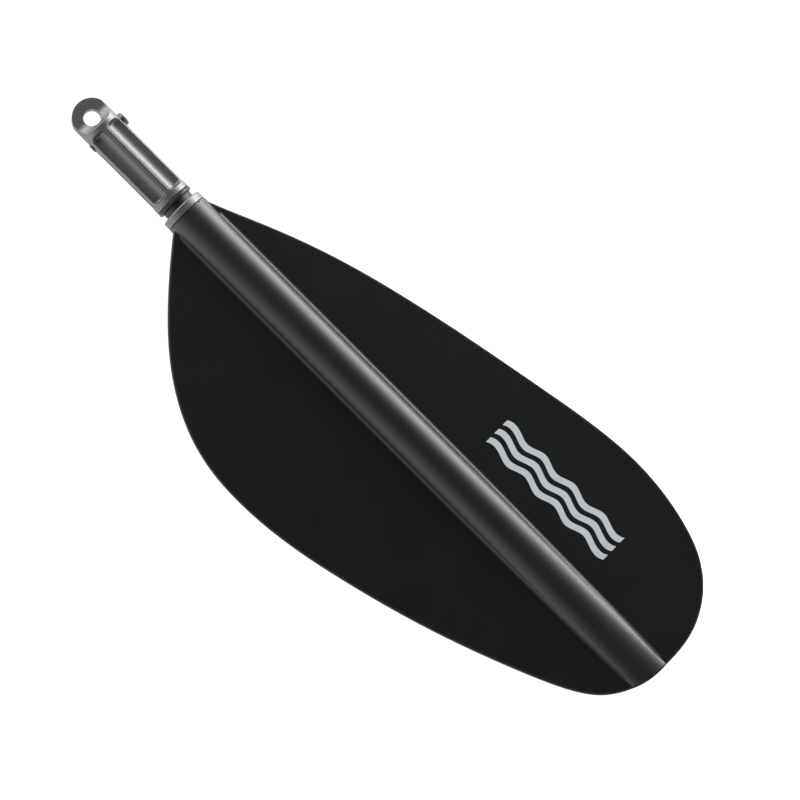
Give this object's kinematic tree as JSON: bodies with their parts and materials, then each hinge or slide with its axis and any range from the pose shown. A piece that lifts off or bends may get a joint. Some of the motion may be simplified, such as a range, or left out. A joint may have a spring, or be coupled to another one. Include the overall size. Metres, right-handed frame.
{
  "type": "rowing oar",
  "caption": "Detachable blade of a rowing oar: asymmetric black blade on a round spine tube, with a fluted metal spigot, snap button and eye.",
  "frame": {"origin": "centre of the collar's shoulder, on the spine tube's axis, where a shaft's end stops", "axes": "+X along the tube towards the blade's tip, +Y the way the snap button stands out (the blade's shallow side), +Z square to the blade"},
  "size_m": [0.5371, 0.2064, 0.0318],
  "materials": {
    "spigot_metal": "dark grey hard-anodised, fine bead-blasted",
    "seal_rubber": "lightly greased",
    "button_steel": "dark, satin",
    "spring_steel": "rolled strip",
    "nub_steel": "dark, satin",
    "plug_nylon": "moulded",
    "bond_resin": "cured resin",
    "tube_composite": "satin black composite",
    "core_foam": "closed-cell foam",
    "skin_composite": "matt black composite, faint fibre print",
    "fillet_resin": "satin black resin",
    "guard_plastic": "dark grey, moulded",
    "decal_film": "pale film"
  },
  "bodies": {
    "blade": {"spigot_body": "spigot_metal", "shaft_seal_ring": "seal_rubber", "button_spring": "spring_steel", "bore_plug": "plug_nylon", "bond_sleeve": "bond_resin", "spine_tube": "tube_composite", "spine_core": "core_foam", "tip_cap": "guard_plastic", "core_upper": "core_foam", "front_skin_upper": "skin_composite", "back_skin_upper": "skin_composite", "front_fillet_upper": "fillet_resin", "back_fillet_upper": "fillet_resin", "edge_guard_upper": "guard_plastic", "core_lower": "core_foam", "front_skin_lower": "skin_composite", "back_skin_lower": "skin_composite", "front_fillet_lower": "fillet_resin", "back_fillet_lower": "fillet_resin", "edge_guard_lower": "guard_plastic", "wave_decal": "decal_film"},
    "button": {"snap_button": "button_steel"},
    "nub": {"locating_nub": "nub_steel"}
  },
  "joints": [
    {"name": "button_press", "type": "slide", "parent": "blade", "child": "button", "axis": [0, -1, 0], "range_m": [0, 0.0045], "stiffness_N_per_m": 2500, "springref_m": -0.002, "deforming": ["button_spring"]},
    {"name": "nub_press", "type": "slide", "parent": "blade", "child": "nub", "axis": [0, 1, 0], "range_m": [0, 0.0009], "stiffness_N_per_m": 2500, "springref_m": -0.0004, "deforming": ["button_spring"]}
  ]
}
